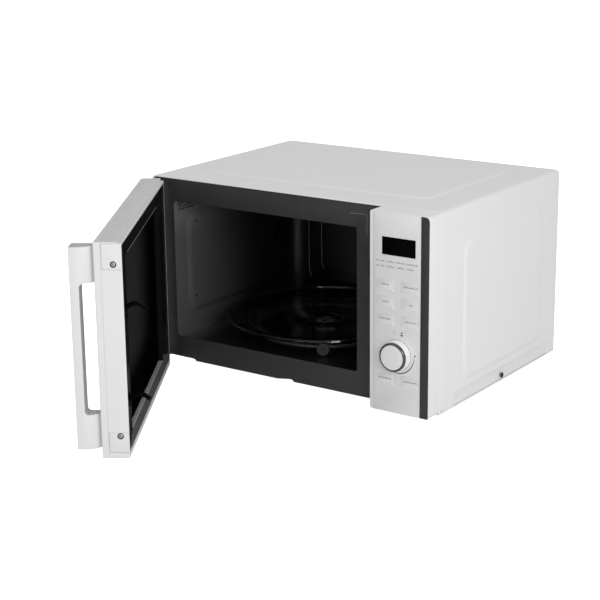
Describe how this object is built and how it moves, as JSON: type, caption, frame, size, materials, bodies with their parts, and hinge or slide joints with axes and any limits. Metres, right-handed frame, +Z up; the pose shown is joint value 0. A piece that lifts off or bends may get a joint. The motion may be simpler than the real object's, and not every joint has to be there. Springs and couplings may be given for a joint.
{
  "type": "microwave oven",
  "caption": "Countertop microwave oven with a side-hinged door standing open, control panel with push buttons and a rotary knob, and a roller-borne glass turntable.",
  "frame": {"origin": "on the surface it stands on, under the middle of the bounding box with the door open by 58 degrees", "axes": "+Z up, front and door towards -Y, control panel towards +X"},
  "size_m": [0.4422, 0.6466, 0.259],
  "materials": {
    "case_paint": "white textured powder coat",
    "white_plastic": "white satin moulding",
    "silver_fascia": "silver painted film",
    "dark_enamel": "dark grey semi-gloss enamel",
    "black_plastic": "black glossy moulding",
    "black_glass": "black tinted pane",
    "clear_glass": "clear glass",
    "bare_steel": "plain steel",
    "aluminium": "plain aluminium",
    "galvanised": "galvanised sheet",
    "chrome": "bright plated",
    "dark_rubber": "matt",
    "grey_plastic": "matt moulding",
    "board": "green circuit board",
    "mica": "pressed mica sheet"
  },
  "bodies": {
    "case": {"cabinet": "case_paint", "base_plate": "galvanised", "back_panel": "case_paint", "front_plate": "dark_enamel", "cavity_liner": "dark_enamel", "mica_cover": "mica", "control_bezel": "white_plastic", "control_fascia": "silver_fascia", "trim_strip": "dark_enamel", "display_window": "black_glass", "control_board": "board", "encoder": "grey_plastic", "latch_board": "black_plastic", "switch_upper": "grey_plastic", "switch_lower": "grey_plastic", "magnetron": "aluminium", "waveguide": "galvanised", "transformer": "bare_steel", "capacitor": "aluminium", "fan_motor": "bare_steel", "air_duct": "black_plastic", "cavity_lamp": "clear_glass", "turntable_motor": "bare_steel", "upper_hinge": "galvanised", "lower_hinge": "galvanised", "foot_front_left": "dark_rubber", "foot_front_right": "dark_rubber", "foot_rear_left": "dark_rubber", "foot_rear_right": "dark_rubber", "side_screw": "bare_steel", "cord_gland": "dark_rubber"},
    "door": {"door_frame": "white_plastic", "door_glass": "black_glass", "door_plate": "galvanised", "door_choke": "black_plastic", "inner_window": "black_glass", "handle": "white_plastic", "corner_plate_top": "white_plastic", "corner_plate_bottom": "white_plastic", "door_screw_top": "bare_steel", "door_screw_bottom": "bare_steel"},
    "latch": {"latch_slider": "black_plastic"},
    "knob": {"knob_body": "white_plastic", "knob_ring": "chrome"},
    "turntable": {"turntable_glass": "clear_glass", "drive_coupler": "grey_plastic"},
    "ring": {"roller_ring": "black_plastic"},
    "roller_1": {"roller_1": "grey_plastic"},
    "roller_2": {"roller_2": "grey_plastic"},
    "roller_3": {"roller_3": "grey_plastic"},
    "fan": {"fan_blade": "grey_plastic"},
    "button_a1": {"button_a1": "silver_fascia"},
    "button_b1": {"button_b1": "silver_fascia"},
    "button_a2": {"button_a2": "silver_fascia"},
    "button_b2": {"button_b2": "silver_fascia"},
    "button_a3": {"button_a3": "silver_fascia"},
    "button_b3": {"button_b3": "silver_fascia"},
    "button_a4": {"button_a4": "silver_fascia"},
    "button_b4": {"button_b4": "silver_fascia"}
  },
  "joints": [
    {"name": "door_hinge", "type": "hinge", "parent": "case", "child": "door", "pos_m": [-0.21501, -0.00819, 0.008], "axis": [0, 0, -1], "range_deg": [-58, 40]},
    {"name": "latch_slide", "type": "slide", "parent": "door", "child": "latch", "axis": [0, 0, 1], "range_m": [0, 0.004], "stiffness_N_per_m": 400},
    {"name": "button_a1_press", "type": "slide", "parent": "case", "child": "button_a1", "axis": [0, 1, 0], "range_m": [0, 0.001], "stiffness_N_per_m": 400},
    {"name": "button_b1_press", "type": "slide", "parent": "case", "child": "button_b1", "axis": [0, 1, 0], "range_m": [0, 0.001], "stiffness_N_per_m": 400},
    {"name": "button_a2_press", "type": "slide", "parent": "case", "child": "button_a2", "axis": [0, 1, 0], "range_m": [0, 0.001], "stiffness_N_per_m": 400},
    {"name": "button_b2_press", "type": "slide", "parent": "case", "child": "button_b2", "axis": [0, 1, 0], "range_m": [0, 0.001], "stiffness_N_per_m": 400},
    {"name": "button_a3_press", "type": "slide", "parent": "case", "child": "button_a3", "axis": [0, 1, 0], "range_m": [0, 0.001], "stiffness_N_per_m": 400},
    {"name": "button_b3_press", "type": "slide", "parent": "case", "child": "button_b3", "axis": [0, 1, 0], "range_m": [0, 0.001], "stiffness_N_per_m": 400},
    {"name": "button_a4_press", "type": "slide", "parent": "case", "child": "button_a4", "axis": [0, 1, 0], "range_m": [0, 0.001], "stiffness_N_per_m": 400},
    {"name": "button_b4_press", "type": "slide", "parent": "case", "child": "button_b4", "axis": [0, 1, 0], "range_m": [0, 0.001], "stiffness_N_per_m": 400},
    {"name": "knob_spin", "type": "hinge", "parent": "case", "child": "knob", "pos_m": [0.17599, -0.01499, 0.0848], "axis": [0, -1, 0], "continuous": true},
    {"name": "turntable_spin", "type": "hinge", "parent": "case", "child": "turntable", "pos_m": [-0.04651, 0.16231, 0.032], "axis": [0, 0, 1], "continuous": true},
    {"name": "ring_spin", "type": "hinge", "parent": "case", "child": "ring", "pos_m": [-0.04651, 0.16231, 0.032], "axis": [0, 0, 1], "continuous": true},
    {"name": "roller_1_spin", "type": "hinge", "parent": "ring", "child": "roller_1", "pos_m": [0.01019, 0.07157, 0.0409], "axis": [0.5299, -0.848, 0], "continuous": true},
    {"name": "roller_2_spin", "type": "hinge", "parent": "ring", "child": "roller_2", "pos_m": [0.00372, 0.25678, 0.0409], "axis": [0.4695, 0.8829, 0], "continuous": true},
    {"name": "roller_3_spin", "type": "hinge", "parent": "ring", "child": "roller_3", "pos_m": [-0.15345, 0.15858, 0.0409], "axis": [-0.9994, -0.0349, 0], "continuous": true},
    {"name": "fan_spin", "type": "hinge", "parent": "case", "child": "fan", "pos_m": [0.16749, 0.26331, 0.168], "axis": [0, 1, 0], "continuous": true}
  ],
  "couplings": [
    {"joint": "ring_spin", "follows": "turntable_spin", "ratio": 0.5},
    {"joint": "roller_1_spin", "follows": "turntable_spin", "ratio": -6.2209},
    {"joint": "roller_2_spin", "follows": "turntable_spin", "ratio": -6.2209},
    {"joint": "roller_3_spin", "follows": "turntable_spin", "ratio": -6.2209}
  ]
}
